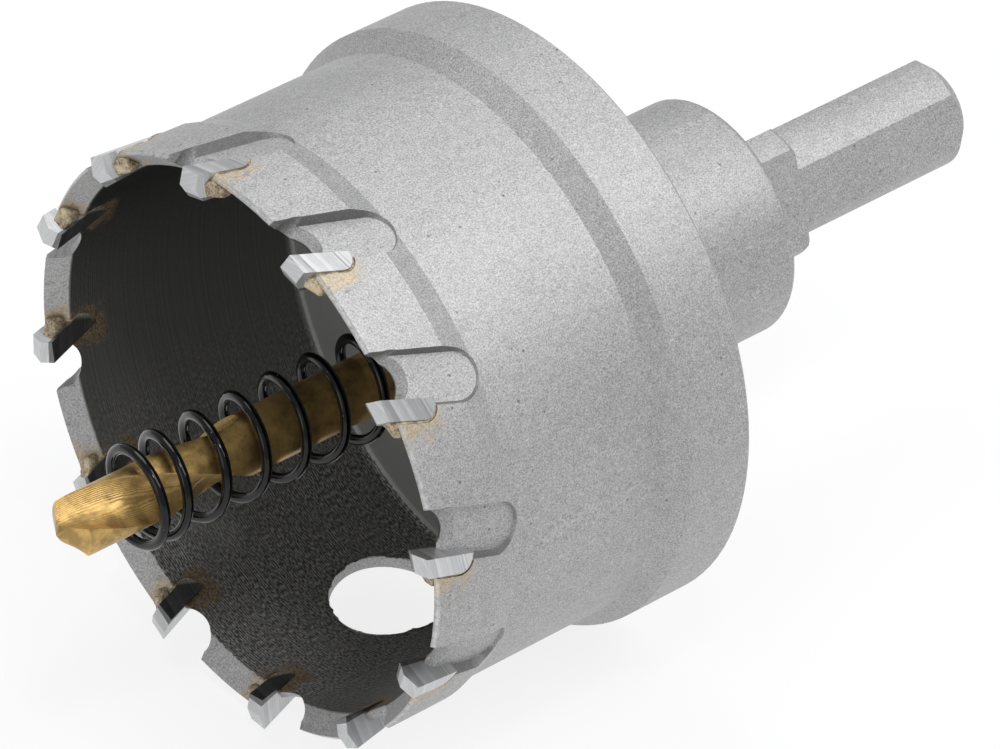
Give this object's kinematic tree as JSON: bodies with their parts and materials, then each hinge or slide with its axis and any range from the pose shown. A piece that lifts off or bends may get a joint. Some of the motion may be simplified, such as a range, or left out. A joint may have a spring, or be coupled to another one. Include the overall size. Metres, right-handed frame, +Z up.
{
  "type": "hole saw",
  "caption": "Carbide-tipped hole saw with a turned steel cup, pilot drill, ejector spring, side window and a three-flat shank, lying on its stop flange.",
  "frame": {"origin": "on the surface the tool lies on, below the middle of its overall box", "axes": "+X along the tool's axis from the mouth of the cup towards the shank, +Z up"},
  "size_m": [0.1156, 0.065, 0.065],
  "materials": {
    "body_steel": "satin, bead blasted",
    "carbide": "ground",
    "braze": "rough",
    "coated_drill": "ground, gold nitride coating",
    "spring_wire": "gloss",
    "screw_steel": "black oxide"
  },
  "bodies": {
    "root": {"hole_saw_body": "body_steel", "pilot_drill": "coated_drill", "ejector_spring": "spring_wire", "grub_screw": "screw_steel", "carbide_tip_01": "carbide", "carbide_tip_02": "carbide", "carbide_tip_03": "carbide", "carbide_tip_04": "carbide", "carbide_tip_05": "carbide", "carbide_tip_06": "carbide", "carbide_tip_07": "carbide", "carbide_tip_08": "carbide", "carbide_tip_09": "carbide", "carbide_tip_10": "carbide", "carbide_tip_11": "carbide", "carbide_tip_12": "carbide", "braze_seam_01": "braze", "braze_seam_02": "braze", "braze_seam_03": "braze", "braze_seam_04": "braze", "braze_seam_05": "braze", "braze_seam_06": "braze", "braze_seam_07": "braze", "braze_seam_08": "braze", "braze_seam_09": "braze", "braze_seam_10": "braze", "braze_seam_11": "braze", "braze_seam_12": "braze"}
  },
  "joints": []
}
